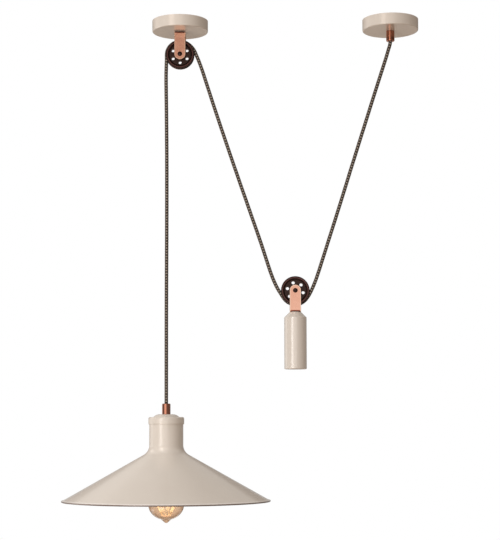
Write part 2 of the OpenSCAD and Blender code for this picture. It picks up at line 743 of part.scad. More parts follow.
// Edge of the shade's section round its neck and flare, at a depth of d inside the outer face
function shade_edge(d) = concat(
    arc([neck_d / 2 - neck_corner, shade_top_z - neck_corner], neck_corner - d, 90, 0, 6),
    arc(flare_c, flare_r + d, 180, 180 + shade_angle, 14));

// Neck, flare and straight cone of one sheet, rolled into a bead at the rim
module shade() {
    hole_r = nipple_d / 2 + hole_gap;
    bead_r = bead_d / 2;
    flare_end = flare_c - (flare_r + shade_wall / 2) * [cos(shade_angle), sin(shade_angle)];
    run = (shade_d / 2 - bead_r - flare_end[0]) / sin(shade_angle);
    bead_c = flare_end + run * [sin(shade_angle), -cos(shade_angle)];
    open = asin(shade_wall / bead_d); // half the angle over which the sheet enters the bead
    bead = arc(bead_c, bead_r, 90 + shade_angle - open, shade_angle - 270 + open, 24);
    color(cream) translate([lamp_x, 0, 0]) rotate_extrude($fn = 144) polygon(concat(
        [[hole_r, shade_top_z]],
        shade_edge(0),
        bead,
        reversed(shade_edge(shade_wall)),
        [[hole_r, shade_top_z - shade_wall]]));
}

// Cap over the neck: shallow dome, shoulder and collar
module shade_cap() {
    r = cap_d / 2;
    hole_r = nipple_d / 2 + hole_gap;
    flat_r = cap_flat_d / 2;
    run = cap_dome_d / 2 - flat_r;
    dome_r = (run * run + cap_dome_h * cap_dome_h) / (2 * cap_dome_h);
    dome_c = [flat_r, cap_top_z - dome_r];
    outer_angle = asin((dome_r - cap_dome_h) / dome_r);
    inner_angle = asin((dome_r - cap_dome_h - cap_wall) / (dome_r - cap_wall));
    corner_c = [r - cap_corner, cap_shoulder_z - cap_corner];
    foot_z = cap_shoulder_z - cap_collar_h;
    turn_c = [r - cap_turn_r, foot_z + cap_turn_r * sin(cap_turn)];
    color(cream) translate([lamp_x, 0, 0]) rotate_extrude() polygon(concat(
        [[hole_r, cap_top_z]],
        arc(dome_c, dome_r, 90, outer_angle),
        arc(corner_c, cap_corner, 90, 0, 6),
        arc(turn_c, cap_turn_r, 0, -cap_turn, 5),
        [[r - cap_wall, foot_z]],
        arc(corner_c, cap_corner - cap_wall, 0, 90, 6),
        arc(dome_c, dome_r - cap_wall, inner_angle, 90),
        [[hole_r, cap_top_z - cap_wall]]));
}

// ---------------------------------------------------------------- lampholder

module lampholder_cap() {
    r = holder_d / 2;
    inner_r = r - holder_wall;
    edge_c = [r - holder_edge, -holder_edge];
    color(phenolic) translate([lamp_x, 0, holder_top_z]) rotate_extrude() polygon(concat(
        [[nipple_d / 2, 0]],
        arc(edge_c, holder_edge, 90, 0, 6),
        [[r, -holder_cap_h], [inner_r, -holder_cap_h]],
        arc(edge_c, holder_edge - holder_wall, 0, 90, 6),
        [[nipple_d / 2, -holder_wall]]));
}

module lampholder_skirt() {
    r = holder_d / 2;
    spigot_r = r - holder_wall - 0.1;
    seat_r = spigot_r - 0.7; // round the ceramic core
    bore_r = shell_r + shell_t + 0.1;
    foot_r = bore_r + skirt_foot_t;
    band_z = skirt_top_z - skirt_band_h;
    color(phenolic) translate([lamp_x, 0, 0]) rotate_extrude() polygon([
        [spigot_r, core_top_z + 1], [spigot_r, skirt_top_z], [r, skirt_top_z],
        [r, band_z], [r - skirt_taper, band_z - skirt_taper], [foot_r, skirt_bottom_z],
        [bore_r, skirt_bottom_z], [bore_r, core_bottom_z], [seat_r, core_bottom_z],
        [seat_r, core_top_z + 1]]);
}

module lampholder_core() color(ceramic) translate([lamp_x, 0, core_bottom_z])
    cylinder(r = core_r, h = core_h);

// Centre tongue and screw shell
module lampholder_contacts() color(brass) translate([lamp_x, 0, core_bottom_z]) {
    translate([0, 0, -tongue_h]) cylinder(r1 = tongue_tip_r, r2 = tongue_top_r, h = tongue_h);
    sleeve(shell_r + shell_t, shell_r, -shell_h, 0);
}

// Three cores, from the flex's end in the grip down to the ceramic core
module lamp_cores() color(brass) translate([lamp_x, 0, core_top_z])
    for (k = [0 : 2]) rotate(120 * k) translate([core_spread, 0, 0])
        cylinder(d = core_d, h = cap_top_z + nipple_depth - core_top_z, $fn = 24);

// ---------------------------------------------------------------- bulb

module at_bulb() translate([lamp_x, 0, 0]) children();

// Screw cap with the ridges of its thread
module bulb_cap() {
    root_r = screw_d / 2 - thread_ridge;
    bore_r = glass_neck_r + 0.1;
    thread_top_z = screw_top_z - screw_shoulder;
    turns = floor((screw_l - 2 * screw_shoulder) / thread_pitch);
    thread = [for (i = [0 : 8 * turns]) let(t = i / 8)
        [root_r + thread_ridge * (0.5 - 0.5 * cos(360 * t)), thread_top_z - thread_pitch * t]];
    color(steel) at_bulb() rotate_extrude() polygon(concat(
        [[insulator_r, screw_top_z], [root_r - screw_shoulder, screw_top_z]],
        thread,
        [[root_r, screw_bottom_z], [bore_r, screw_bottom_z],
            [bore_r, thread_top_z - 0.5], [insulator_r, screw_top_z - 1.5]]));
}

module bulb_insulator() color(phenolic) at_bulb() rotate_extrude() polygon([
    [0, screw_top_z], [insulator_r, screw_top_z],
    [contact_r, screw_top_z + insulator_h], [0, screw_top_z + insulator_h]]);

module bulb_contact() {
    r = (contact_r * contact_r + contact_h * contact_h) / (2 * contact_h);
    color(steel) at_bulb() translate([0, 0, bulb_top_z - contact_h])
        rotate_extrude() intersection() {
            translate([0, contact_h - r]) circle(r = r);
            square([contact_r, contact_h]);
        }
}

// Section of the glass at a depth of d inside its outer face: neck, teardrop, round end
function glass_edge(d) =
    let(r = bulb_d / 2 - d, neck = glass_neck_r - d, n = 20)
    concat(
        [[neck, glass_neck_z], [neck, screw_bottom_z - 0.5]],
        [for (i = [1 : n]) let(t = i / n)
            [neck + glass_flare + (r - neck - glass_flare) * sin(90 * t),
                screw_bottom_z - 2 + (bulb_wide_z - screw_bottom_z + 2) * t]],
        [for (a = [6 : 6 : 72])
            [r * cos(a), bulb_wide_z - (bulb_round_h - d) * sin(a)]]);

module bulb_glass() {
    inner = concat(glass_edge(glass_t), [[0, bulb_wide_z - bulb_round_h + glass_t]]);
    pip = arc([0, bulb_tip_z + pip_r], pip_r, -50, -90);
    color(amber) at_bulb() rotate_extrude() polygon(concat(glass_edge(0), pip, reversed(inner)));
}

// Glass stem: the flare that closes the neck, the stem and the rod in the cage
module bulb_stem() color(ceramic) at_bulb() rotate_extrude() polygon([
    [0, glass_neck_z], [glass_neck_r - glass_t, glass_neck_z],
    [glass_neck_r - glass_t, glass_neck_z - 1.2],
    [stem_r + mount_r, glass_neck_z - stem_flare_h / 2], [stem_r, glass_neck_z - stem_flare_h],
    [stem_r, glass_neck_z - stem_l], [mount_r, glass_neck_z - stem_l - stem_r],
    [mount_r, cage_bottom_z - 3], [0, cage_bottom_z - 4]]);

function cage_point(r, z, a) = [r * cos(a), r * sin(a), z];

// Wires that stand out from the glass rod, with curled ends where the filament turns
module bulb_supports() color(steel) at_bulb() for (k = [0 : filament_loops - 1]) {
    a = 360 * k / filament_loops;
    half = 180 / filament_loops;
    support(cage_top_r, cage_top_z + hook_r + 2 * filament_r, 3, a);
    support(cage_bottom_r, cage_bottom_z - hook_r - 2 * filament_r, -1, a + half);
}

// One support wire from the rod out to r, z. It starts a little higher, by rise.
module support(r, z, rise, a) {
    rod(cage_point(mount_r + 0.05, z + rise, a), cage_point(r, z, a), wire_r);
    translate(cage_point(r, z, a)) sphere(r = hook_r, $fn = 24);
}

// Long loops of the filament, up and down between the hooks, and its turns round them
module bulb_filament() color(glow) at_bulb() for (k = [0 : filament_loops - 1]) {
    a = 360 * k / filament_loops;
    half = 180 / filament_loops;
    top_turn = asin(hook_r / cage_top_r);
    bottom_turn = asin(hook_r / cage_bottom_r);
    for (s = [-1, 1]) rod(cage_point(cage_top_r, cage_top_z, a + s * top_turn),
        cage_point(cage_bottom_r, cage_bottom_z, a + s * (half - bottom_turn)), filament_r);
    rod(cage_point(cage_top_r, cage_top_z, a - top_turn),
        cage_point(cage_top_r, cage_top_z, a + top_turn), filament_r);
    rod(cage_point(cage_bottom_r, cage_bottom_z, a + half - bottom_turn),
        cage_point(cage_bottom_r, cage_bottom_z, a + half + bottom_turn), filament_r);
}

// ---------------------------------------------------------------- flex

module cord_drop() color(flex_cloth) tube(drop_points, down, down, flex_d / 2);

module cord_over_wheel() color(flex_cloth) tube(over_points, up, left_start, flex_d / 2);

module cord_left_leg() color(flex_cloth) tube(left_points, left_start, left_end, flex_d / 2);

module cord_under_wheel() color(flex_cloth)
    tube(under_points, left_end, right_start, flex_d / 2);

module cord_right_leg() color(flex_cloth) tube(right_points, right_start, up, flex_d / 2);

pulley_rose_bar();
pulley_rose_nut();
pulley_rose_cup();
bracket_lock_nut();
bracket_bolt();
upper_bracket();
upper_axle();
upper_axle_nut();
upper_spacers();
upper_wheel();
upper_bush();
feed_rose_bar();
feed_rose_cup();
feed_rose_screws();
feed_grip();
feed_grip_screw();
feed_nipple();
feed_nipple_nut();
terminal_block();
terminal_screws();
terminal_block_screw();
earth_screw();
feed_cores();
lower_bracket();
lower_axle();
lower_axle_nut();
lower_spacers();
lower_wheel();
lower_bush();
weight_bolt();
counterweight();
lamp_grip();
lamp_grip_screw();
lamp_nipple();
lamp_nipple_nut();
shade_cap();
shade();
lampholder_cap();
lampholder_core();
lampholder_contacts();
lampholder_skirt();
lamp_cores();
bulb_cap();
bulb_insulator();
bulb_contact();
bulb_glass();
bulb_stem();
bulb_supports();
bulb_filament();
cord_drop();
cord_over_wheel();
cord_left_leg();
cord_under_wheel();
cord_right_leg();
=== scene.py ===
"""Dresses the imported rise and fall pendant: camera and light, braided flex, finishes, bulb.

Everything is in metres in the part's own frame: +Z up, the origin on the ceiling at the
centre of the pulley rose, the camera on the -Y side.
"""
import json
import math

import bpy
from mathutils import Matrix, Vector


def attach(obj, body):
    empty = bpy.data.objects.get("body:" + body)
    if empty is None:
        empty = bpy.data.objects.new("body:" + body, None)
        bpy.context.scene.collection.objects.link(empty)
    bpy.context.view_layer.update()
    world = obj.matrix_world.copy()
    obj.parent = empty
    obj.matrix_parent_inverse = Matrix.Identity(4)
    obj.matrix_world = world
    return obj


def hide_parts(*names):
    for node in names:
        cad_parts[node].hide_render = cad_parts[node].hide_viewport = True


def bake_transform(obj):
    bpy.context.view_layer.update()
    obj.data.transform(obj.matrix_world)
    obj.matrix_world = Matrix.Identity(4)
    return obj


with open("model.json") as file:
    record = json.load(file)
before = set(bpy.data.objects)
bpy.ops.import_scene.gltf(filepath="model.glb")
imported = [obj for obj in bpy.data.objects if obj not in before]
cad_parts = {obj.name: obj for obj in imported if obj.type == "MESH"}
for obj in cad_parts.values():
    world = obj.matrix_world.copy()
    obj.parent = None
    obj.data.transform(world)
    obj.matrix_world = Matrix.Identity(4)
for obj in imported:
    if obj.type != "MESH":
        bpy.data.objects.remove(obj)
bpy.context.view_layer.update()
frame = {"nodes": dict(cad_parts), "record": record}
nodes = frame["nodes"]
MM = 0.001
UPPER_AXLE = (0.0, -61.0)  # middles of the two wheels, (x, z) in millimetres
LOWER_AXLE = (205.3, -487.7)


# ------------------------------------------------------------------ camera

CAMERA_PLACE = (0.1663, -2.675, -0.74)
CAMERA_TILT = 3.308  # degrees up from level
CAMERA_YAW = 0.905  # degrees to the left
CAMERA_ROLL = 0.141  # degrees clockwise
FOCAL_PX = 1506.8  # focal length in pixels of the 500 x 540 picture
PICTURE_H = 540
SENSOR = 36.0
SHIFT_Y = 0.14  # share of the picture's height


def make_camera():
    data = bpy.data.cameras.new("camera")
    data.sensor_width = SENSOR
    data.lens = FOCAL_PX / PICTURE_H * SENSOR
    data.shift_y = SHIFT_Y
    data.clip_start = 0.05
    data.clip_end = 60
    cam = bpy.data.objects.new("camera", data)
    cam.location = CAMERA_PLACE
    cam.rotation_mode = "XYZ"
    cam.rotation_euler = (
        math.radians(90 + CAMERA_TILT),
        math.radians(CAMERA_ROLL),
        math.radians(CAMERA_YAW),
    )
    bpy.context.scene.collection.objects.link(cam)
    bpy.context.scene.camera = cam


# ------------------------------------------------------------------ material helpers


class Nodes:
    """The node tree of a material, or of a world, with short calls to add and link nodes."""

    def __init__(self, name, world=False):
        self.mat = (bpy.data.worlds if world else bpy.data.materials).new(name)
        self.mat.use_nodes = True
        self.tree = self.mat.node_tree
        self.tree.nodes.clear()
        self.out = self.add("ShaderNodeOutputWorld" if world else "ShaderNodeOutputMaterial")

    def add(self, kind, links=None, **settings):
        node = self.tree.nodes.new(kind)
        for key, value in settings.items():
            setattr(node, key, value)
        for key, value in (links or {}).items():
            self.put(node, key, value)
        return node

    def put(self, node, key, value):
        """Links a socket, or sets a plain value on it."""
        if isinstance(value, bpy.types.NodeSocket):
            self.tree.links.new(value, node.inputs[key])
        else:
            node.inputs[key].default_value = value

    def math(self, kind, a, b=0.0, c=0.0):
        links = {0: a, 1: b, 2: c}
        return self.add("ShaderNodeMath", links, operation=kind).outputs[0]

    def coords(self, scale=(1, 1, 1)):
        """Place on the object at rest, in metres."""
        place = self.add("ShaderNodeTexCoord").outputs["Object"]
        return self.add("ShaderNodeMapping", {"Vector": place, "Scale": scale}).outputs[0]

    def xyz(self, vector=None):
        """The outputs X, Y and Z of a vector, or else of the place on the object."""
        return self.add("ShaderNodeSeparateXYZ", {"Vector": vector or self.coords()}).outputs

    def noise(self, scale, detail=3.0, rough=0.5, vector=None, distortion=0.0):
        links = {
            "Vector": vector or self.coords(),
            "Scale": scale,
            "Detail": detail,
            "Roughness": rough,
            "Distortion": distortion,
        }
        return self.add("ShaderNodeTexNoise", links).outputs["Fac"]

    def ramp(self, fac, stops):
        """Colours or greys along fac: stops is [(place, colour), ...]."""
        node = self.add("ShaderNodeValToRGB", {"Fac": fac})
        while len(node.color_ramp.elements) < len(stops):
            node.color_ramp.elements.new(0.5)
        for element, (place, colour) in zip(node.color_ramp.elements, stops):
            element.position = place
            grey = isinstance(colour, (int, float))
            element.color = (colour, colour, colour, 1) if grey else (*colour, 1)
        return node.outputs["Color"]

    def mix(self, factor, a, b, blend_type="MIX"):
        """Colour a with b over it. A plain colour has four values."""
        links = {"Factor": factor, 6: a, 7: b}
        return self.add("ShaderNodeMix", links, data_type="RGBA",
                        blend_type=blend_type).outputs[2]

    def either(self, factor, a, b):
        """Shader a where factor is 0, shader b where it is 1."""
        return self.add("ShaderNodeMixShader", {"Fac": factor, 1: a.outputs[0], 2: b.outputs[0]})

    def bump(self, height, distance, strength=1.0, normal=None):
        links = {"Height": height, "Distance": distance, "Strength": strength}
        if normal is not None:
            links["Normal"] = normal
        return self.add("ShaderNodeBump", links).outputs["Normal"]

    def surface(self, **sockets):
        """Ends the tree in one Principled shader. Underscores stand for spaces."""
        links = {key.replace("_", " "): value for key, value in sockets.items()}
        return self.end(self.add("ShaderNodeBsdfPrincipled", links))

    def end(self, shader):
        """Ends the tree in this shader."""
        self.tree.links.new(shader.outputs[0], self.out.inputs["Surface"])
        return self.mat


def mixed(a, b, t):
    """The colour that lies a share t of the way from a to b."""
    return tuple(x + (y - x) * t for x, y in zip(a, b))


CREAM = (0.738, 0.672, 0.606)
CREAM_DEEP = (0.708, 0.640, 0.570)
PEEL_DEPTH = 0.03 * MM  # orange peel at full strength
RIM_BOTTOM_Z = -0.8616  # lowest line of the shade's rim
RIM_BAND = 6 * MM  # height above it that the rim's tones are measured by
# Colours of the painted highlight on the rim's bead and of the painted shade below it.
RIM_PAINTED_HIGHLIGHT = (0.86, 0.80, 0.755, 1)
RIM_PAINTED_SHADE = (0.19, 0.140, 0.125, 1)


def cream_paint(name, rough, coat, peel):
    """Sprayed enamel: faint mottling, orange peel under a clear gloss, a painted highlight along
    the rim and painted shade below it.
    """
    t = Nodes(name)
    cloud = t.noise(9.0, 4.0, 0.55)
    speck = t.noise(1400.0, 2.0, 0.6)
    colour = t.ramp(t.math("MULTIPLY_ADD", speck, 0.12, t.math("MULTIPLY", cloud, 0.88)),
                    [(0.30, CREAM_DEEP), (0.70, CREAM)])
    # Painted highlight and painted shade at the shade's rim: a pale band for the light on the
    # bead's top, a dark line for the shade under it.
    rise = t.math("MULTIPLY", t.math("SUBTRACT", t.xyz()["Z"], RIM_BOTTOM_Z), 1 / RIM_BAND)
    at_rim = t.math("LESS_THAN", t.math("ABSOLUTE", rise), 1.0)
    edge = t.ramp(rise, [(0.36, 1.0), (0.44, 0.0)])
    lip = t.ramp(rise, [(0.40, 0.0), (0.46, 1.0), (0.66, 1.0), (0.74, 0.0)])
    for part, tone in ((lip, RIM_PAINTED_HIGHLIGHT), (edge, RIM_PAINTED_SHADE)):
        colour = t.mix(t.math("MULTIPLY", part, at_rim), colour, tone)
    gloss = t.math("MULTIPLY_ADD", t.noise(60.0, 3.0, 0.6), 0.03, rough - 0.015)
    orange_peel = t.bump(t.noise(420.0, 2.0, 0.5), PEEL_DEPTH * peel)
    return t.surface(
        Base_Color=colour,
        Roughness=gloss,
        Normal=orange_peel,
        Specular_IOR_Level=0.5,
        Coat_Weight=coat,
        Coat_Roughness=0.11,
        Coat_IOR=1.85,
    )


FOLDS = (-0.0216, -0.5245)  # heights where the straps fold on to the rose and the weight
FOLD_REACH = 3.4 * MM  # distance that a fold's painted shade is measured by
# Painted shade in the folds of the straps: the dark that a fold's bend reflects.
FOLD_PAINTED_SHADE = (0.20, 0.045, 0.025, 1)
STRAP_R = 10 * MM  # half a strap's width, and its round end's radius
# Painted highlight along the edges and round end of a strap.
STRAP_PAINTED_HIGHLIGHT = (1.0, 0.70, 0.53, 1)


def strap_reach(t):
    """How far a place on a strap is from its middle line, whose end is the axle."""
    split = t.xyz()
    reaches = []
    for (x, z), end in ((UPPER_AXLE, -1.0), (LOWER_AXLE, 1.0)):
        aside = t.math("SUBTRACT", split["X"], x * MM)
        beyond = t.math("MAXIMUM", t.math("MULTIPLY_ADD", split["Z"], end, -end * z * MM), 0.0)
        square = t.math("MULTIPLY_ADD", aside, aside, t.math("MULTIPLY", beyond, beyond))
        reaches.append(t.math("SQRT", square))
    return t.math("MINIMUM", *reaches)


def copper(name, base, rough, grain_scale, grain_depth, strap=False):
    """Lacquered copper with fine working lines. A strap gets painted shade in its folds and a
    painted highlight along its edges and round end.
    """
    t = Nodes(name)
    patina = t.noise(70.0, 5.0, 0.6, distortion=0.4)
    colour = t.ramp(patina, [(0.25, mixed(base, (0.50, 0.20, 0.11), 0.30)), (0.62, base),
                             (0.85, mixed(base, (1.0, 0.66, 0.52), 0.18))])
    if strap:
        height = t.xyz()["Z"]
        nearest = t.math("MINIMUM", *[t.math("ABSOLUTE", t.math("SUBTRACT", height, fold))
                                      for fold in FOLDS])
        # Painted shade: darker and browner near each fold.
        fold_painted_shade = t.ramp(t.math("DIVIDE", nearest, FOLD_REACH), [(0.35, 1.0), (0.60, 0.0)])
        # Painted highlight: paler copper along the strap's edges and round end.
        painted_highlight = t.ramp(t.math("DIVIDE", strap_reach(t), STRAP_R), [(0.83, 0.0), (0.90, 0.85)])
        colour = t.mix(fold_painted_shade, colour, FOLD_PAINTED_SHADE)
        colour = t.mix(painted_highlight, colour, STRAP_PAINTED_HIGHLIGHT)
    lines = t.noise(1.0, 2.0, 0.5, vector=t.coords(grain_scale))
    gloss = t.math("MULTIPLY_ADD", lines, 0.12, rough - 0.06)
    return t.surface(
        Base_Color=colour,
        Metallic=1.0,
        Roughness=gloss,
        Normal=t.bump(lines, grain_depth),
        Coat_Weight=0.5,
        Coat_Roughness=0.05,
    )


RIM_CREST_R = 22.8 * MM  # radius of the painted highlight line on a wheel's rim
CREST_REACH = 2.0 * MM  # distance that that painted highlight is measured by
CREST_PAINTED_HIGHLIGHT = (0.135, 0.052, 0.047, 1)


def dark_bronze(name, rough, crest=False):
    """Near black bronze. A wheel's rim has a red painted highlight along its crest."""
    t = Nodes(name)
    wear = t.noise(160.0, 4.0, 0.6)
    colour = t.ramp(wear, [(0.30, (0.011, 0.0065, 0.0055)), (0.70, (0.024, 0.012, 0.010))])
    metallic = 0.35
    # Painted highlight: a red, more metallic line round each wheel's crest, broken up by the wear
    # noise.
    if crest:
        flat_place = t.add("ShaderNodeVectorMath", {0: t.coords(), 1: (1, 0, 1)},
                           operation="MULTIPLY").outputs[0]
        gaps = []
        for x, z in (UPPER_AXLE, LOWER_AXLE):
            gap = t.add("ShaderNodeVectorMath", {0: flat_place, 1: (x * MM, 0, z * MM)},
                        operation="DISTANCE").outputs["Value"]
            gaps.append(t.math("ABSOLUTE", t.math("SUBTRACT", gap, RIM_CREST_R)))
        off = t.math("MULTIPLY", t.math("MINIMUM", *gaps), 1 / CREST_REACH)
        patchy = t.math("MULTIPLY_ADD", wear, 0.5, off)
        painted_highlight = t.ramp(patchy, [(0.34, 1.0), (0.62, 0.0)])
        colour = t.mix(painted_highlight, colour, CREST_PAINTED_HIGHLIGHT)
        metallic = t.math("MULTIPLY_ADD", painted_highlight, 0.4, metallic)
    gloss = t.math("MULTIPLY_ADD", t.noise(700.0, 2.0, 0.5), 0.16, rough - 0.08)
    return t.surface(
        Base_Color=colour,
        Metallic=metallic,
        Specular_IOR_Level=0.45,
        Specular_Tint=(1.0, 0.62, 0.55, 1),
        Roughness=gloss,
        Normal=t.bump(t.noise(900.0, 2.0, 0.5), 0.00003),
        Coat_Weight=0.15,
        Coat_Roughness=0.2,
    )


def metal(name, light, dark, rough):
    """Plain plated or turned metal with mottled gloss."""
    t = Nodes(name)
    spangle = t.noise(220.0, 4.0, 0.55)
    gloss = t.math("MULTIPLY_ADD", spangle, 0.18, rough - 0.09)
    return t.surface(
        Base_Color=t.ramp(spangle, [(0.3, dark), (0.7, light)]),
        Metallic=1.0,
        Roughness=gloss,
        Normal=t.bump(t.noise(1500.0, 2.0, 0.5), 0.00001),
    )


def moulding(name, light, dark, rough, spec=0.5):
    """Moulded plastic, phenolic or glazed ceramic with a fine grain."""
    t = Nodes(name)
    grain = t.noise(500.0, 3.0, 0.6)
    return t.surface(
        Base_Color=t.ramp(grain, [(0.3, dark), (0.7, light)]),
        Roughness=t.math("MULTIPLY_ADD", grain, 0.15, rough - 0.07),
        Specular_IOR_Level=spec,
        Normal=t.bump(grain, 0.00002),
    )


def bulb_glass(name, tint, edge_tint, see_through):
    """Thin tinted glass, deeper where the eye looks along its wall. It lets soft light by."""
    t = Nodes(name)
    facing = t.add("ShaderNodeLayerWeight", {"Blend": 0.5}).outputs["Facing"]
    colour = t.ramp(facing, [(0.35, tint), (0.80, edge_tint)])
    waves = t.bump(t.noise(45.0, 2.0, 0.4), 0.0002, 0.15)
    glass = t.add("ShaderNodeBsdfPrincipled", {
        "Base Color": colour, "Roughness": 0.01, "IOR": 1.45,
        "Transmission Weight": 1.0, "Normal": waves})
    clear = t.add("ShaderNodeBsdfTransparent", {"Color": (*see_through, 1)})
    path = t.add("ShaderNodeLightPath")
    soft_ray = t.math("MAXIMUM", path.outputs["Is Shadow Ray"], path.outputs["Is Diffuse Ray"])
    return t.end(t.either(soft_ray, glass, clear))


# How hot the filament is along its height: cooler just above its lower turns.
HEAT_FROM_Z = -0.8860
HEAT_SPAN = 10 * MM
HEAT = [(0.10, 1.0), (0.18, 0.22), (0.60, 0.22), (0.78, 1.0)]


def glowing(name, colour, strength):
    """Hot filament wire, brighter and dimmer along its coils. The support wires use it too, as a
    painted glint.
    """
    t = Nodes(name)
    coils = t.noise(900.0, 2.0, 0.5)
    glow = t.ramp(coils, [(0.3, mixed(colour, (1, 0.4, 0.1), 0.25)), (0.7, colour)])
    up = t.math("MULTIPLY", t.math("SUBTRACT", t.xyz()["Z"], HEAT_FROM_Z), 1 / HEAT_SPAN)
    return t.surface(
        Base_Color=(*mixed(colour, (1, 1, 1), 0.2), 1),
        Roughness=0.6,
        Emission_Color=glow,
        Emission_Strength=t.math("MULTIPLY", t.ramp(up, HEAT), strength),
    )


# ------------------------------------------------------------------ braided flex

FLEX_D = 6.5 * MM
FLEX_R = FLEX_D / 2
FLEX_SIDES = 48
FLEX_STEP = 0.5 * MM
FINE_STEP = 0.25 * MM  # spacing on the smooth curve before its points are evened out
STATIONS = 60
CARRIERS = 4  # flat bundles of yarns that run round the braid each way
LIGHT_EVERY = 2  # every other bundle of one way is cream, the rest are black
YARNS = 4  # yarns side by side in a bundle
BRAID_PITCH = 10.12 * MM  # length of a bundle's full turn
BRAID_TURN = 1 / 8  # brings a column of cream spots to the front
YARN_RELIEF = 0.16 * MM
YARN_MIDDLE = 0.6  # share of the relief that lies inside the flex's round
DARK_YARN = ((0.026, 0.020, 0.016), (0.084, 0.064, 0.052))
PALE_YARN = ((0.24, 0.20, 0.165), (0.50, 0.43, 0.355))

LAMP_X = -24.5  # the lamp's axis, in millimetres
FLEX_PATH_R = 24.5  # middle of the flex round a wheel, in millimetres


def round_wheel(centre, start, stop, step):
    """Points of the flex's middle round a wheel, by angle."""
    angles = range(start, stop + (1 if step > 0 else -1), step)
    return [(centre[0] + FLEX_PATH_R * math.cos(math.radians(a)),
             centre[1] + FLEX_PATH_R * math.sin(math.radians(a))) for a in angles]


# The routes of part.scad, as (x, z) in millimetres, each with its first and last heading.
DROP = [(-24.5, -66), (-24.7, -75), (-25.3, -95), (-25.2, -120), (-24.8, -150), (-24.4, -190),
        (-24, -240), (-23.9, -290), (-23.9, -340), (-24, -390), (-24.2, -440), (-24.4, -490),
        (-24.5, -540), (-24.5, -590), (-24.5, -640), (-24.5, -680), (-24.5, -699)]
OVER = [(-24.5, -66), *round_wheel(UPPER_AXLE, 180, 60, -15), (17.5, -43.5), (22, -48.3),
        (25.9, -54.1), (28.9, -61), (33, -71)]
LEFT = [(33, -71), (38.9, -87), (45.7, -108), (52.1, -128), (58.8, -149), (66, -171),
        (72.9, -192), (79.9, -213), (86.9, -234), (94.3, -256), (101.5, -277), (108.6, -298),
        (115.9, -319), (123.1, -340), (130.3, -361), (137.6, -382), (144.7, -403), (151.5, -424),
        (157.9, -444), (163.5, -460.5), (168.8, -473.5), (174.9, -485.7)]
UNDER = [(174.9, -485.7), (179.8, -493.7), (184.3, -500.7),
         *round_wheel(LOWER_AXLE, 225, 315, 15), (226.3, -500.7), (230.7, -493.9), (234.8, -485.7)]
RIGHT = [(234.8, -485.7), (240.6, -472), (246.3, -456), (253.1, -435), (259.9, -414),
         (266.6, -393), (273.4, -372), (280.1, -351), (286.8, -330), (293.4, -309),
         (300.1, -287.5), (306.8, -266), (313.5, -245), (320.1, -224), (326.8, -203),
         (333.5, -182), (340.3, -160.5), (347, -139.5), (353.6, -119), (359.9, -99.5),
         (365.6, -82), (370.6, -66.5), (374.6, -53), (377.1, -44.5), (378, -38), (378, -28)]
UP = (0, 1)
LEFT_START = (0.39, -1)
LEFT_END = (0.58, -1)
RIGHT_START = (0.46, 1)


def flat(point):
    """(x, z) in millimetres to a point in metres on the plane of the flex."""
    return Vector((point[0] * MM, 0, point[1] * MM))


def smooth_path(route, first, last):
    """Closely spaced points and headings on a smooth curve through the route."""
    knots = [flat(p) for p in route]
    heads = [Vector((first[0], 0, first[1])).normalized()]
    for before, here, after in zip(knots, knots[1:], knots[2:]):
        heads.append(((after - here).normalized() + (here - before).normalized()).normalized())
    heads.append(Vector((last[0], 0, last[1])).normalized())
    fine = []
    for p, q, hp, hq in zip(knots, knots[1:], heads, heads[1:]):
        span = (q - p).length
        steps = max(4, round(span / FINE_STEP))
        for i in range(steps):
            s = i / steps
            fine.append(p * (2 * s**3 - 3 * s**2 + 1) + hp * span * (s**3 - 2 * s**2 + s)
                        + q * (3 * s**2 - 2 * s**3) + hq * span * (s**3 - s**2))
    fine.append(knots[-1])
    return evenly(fine, heads[0], heads[-1])


def evenly(fine, first, last):
    """The same curve with points FLEX_STEP apart: [(point, heading)], and its length."""
    along = [0.0]
    for p, q in zip(fine, fine[1:]):
        along.append(along[-1] + (q - p).length)
    count = max(8, round(along[-1] / FLEX_STEP))
    points = []
    k = 0
    for i in range(count + 1):
        d = along[-1] * i / count
        while k < len(along) - 2 and along[k + 1] < d:
            k += 1
        t = (d - along[k]) / (along[k + 1] - along[k])
        points.append(fine[k].lerp(fine[k + 1], min(1.0, t)))
    heads = [first]
    heads += [(b - a).normalized() for a, b in zip(points, points[2:])]
    heads.append(last)
    return list(zip(points, heads)), along[-1]


def yarn_height(u, v):
    """Relief of the braid, from 0 between yarns to 1 on a yarn's back."""
    a = CARRIERS * (u + v / BRAID_PITCH)
    b = CARRIERS * (u - v / BRAID_PITCH)
    over_a = (math.floor(a) + math.floor(b)) % 2 == 0
    across, lengthwise = (a, b) if over_a else (b, a)
    back = 1 - (2 * (across % 1) - 1) ** 2
    ends = 1 - (2 * (lengthwise % 1) - 1) ** 4
    return back * ends


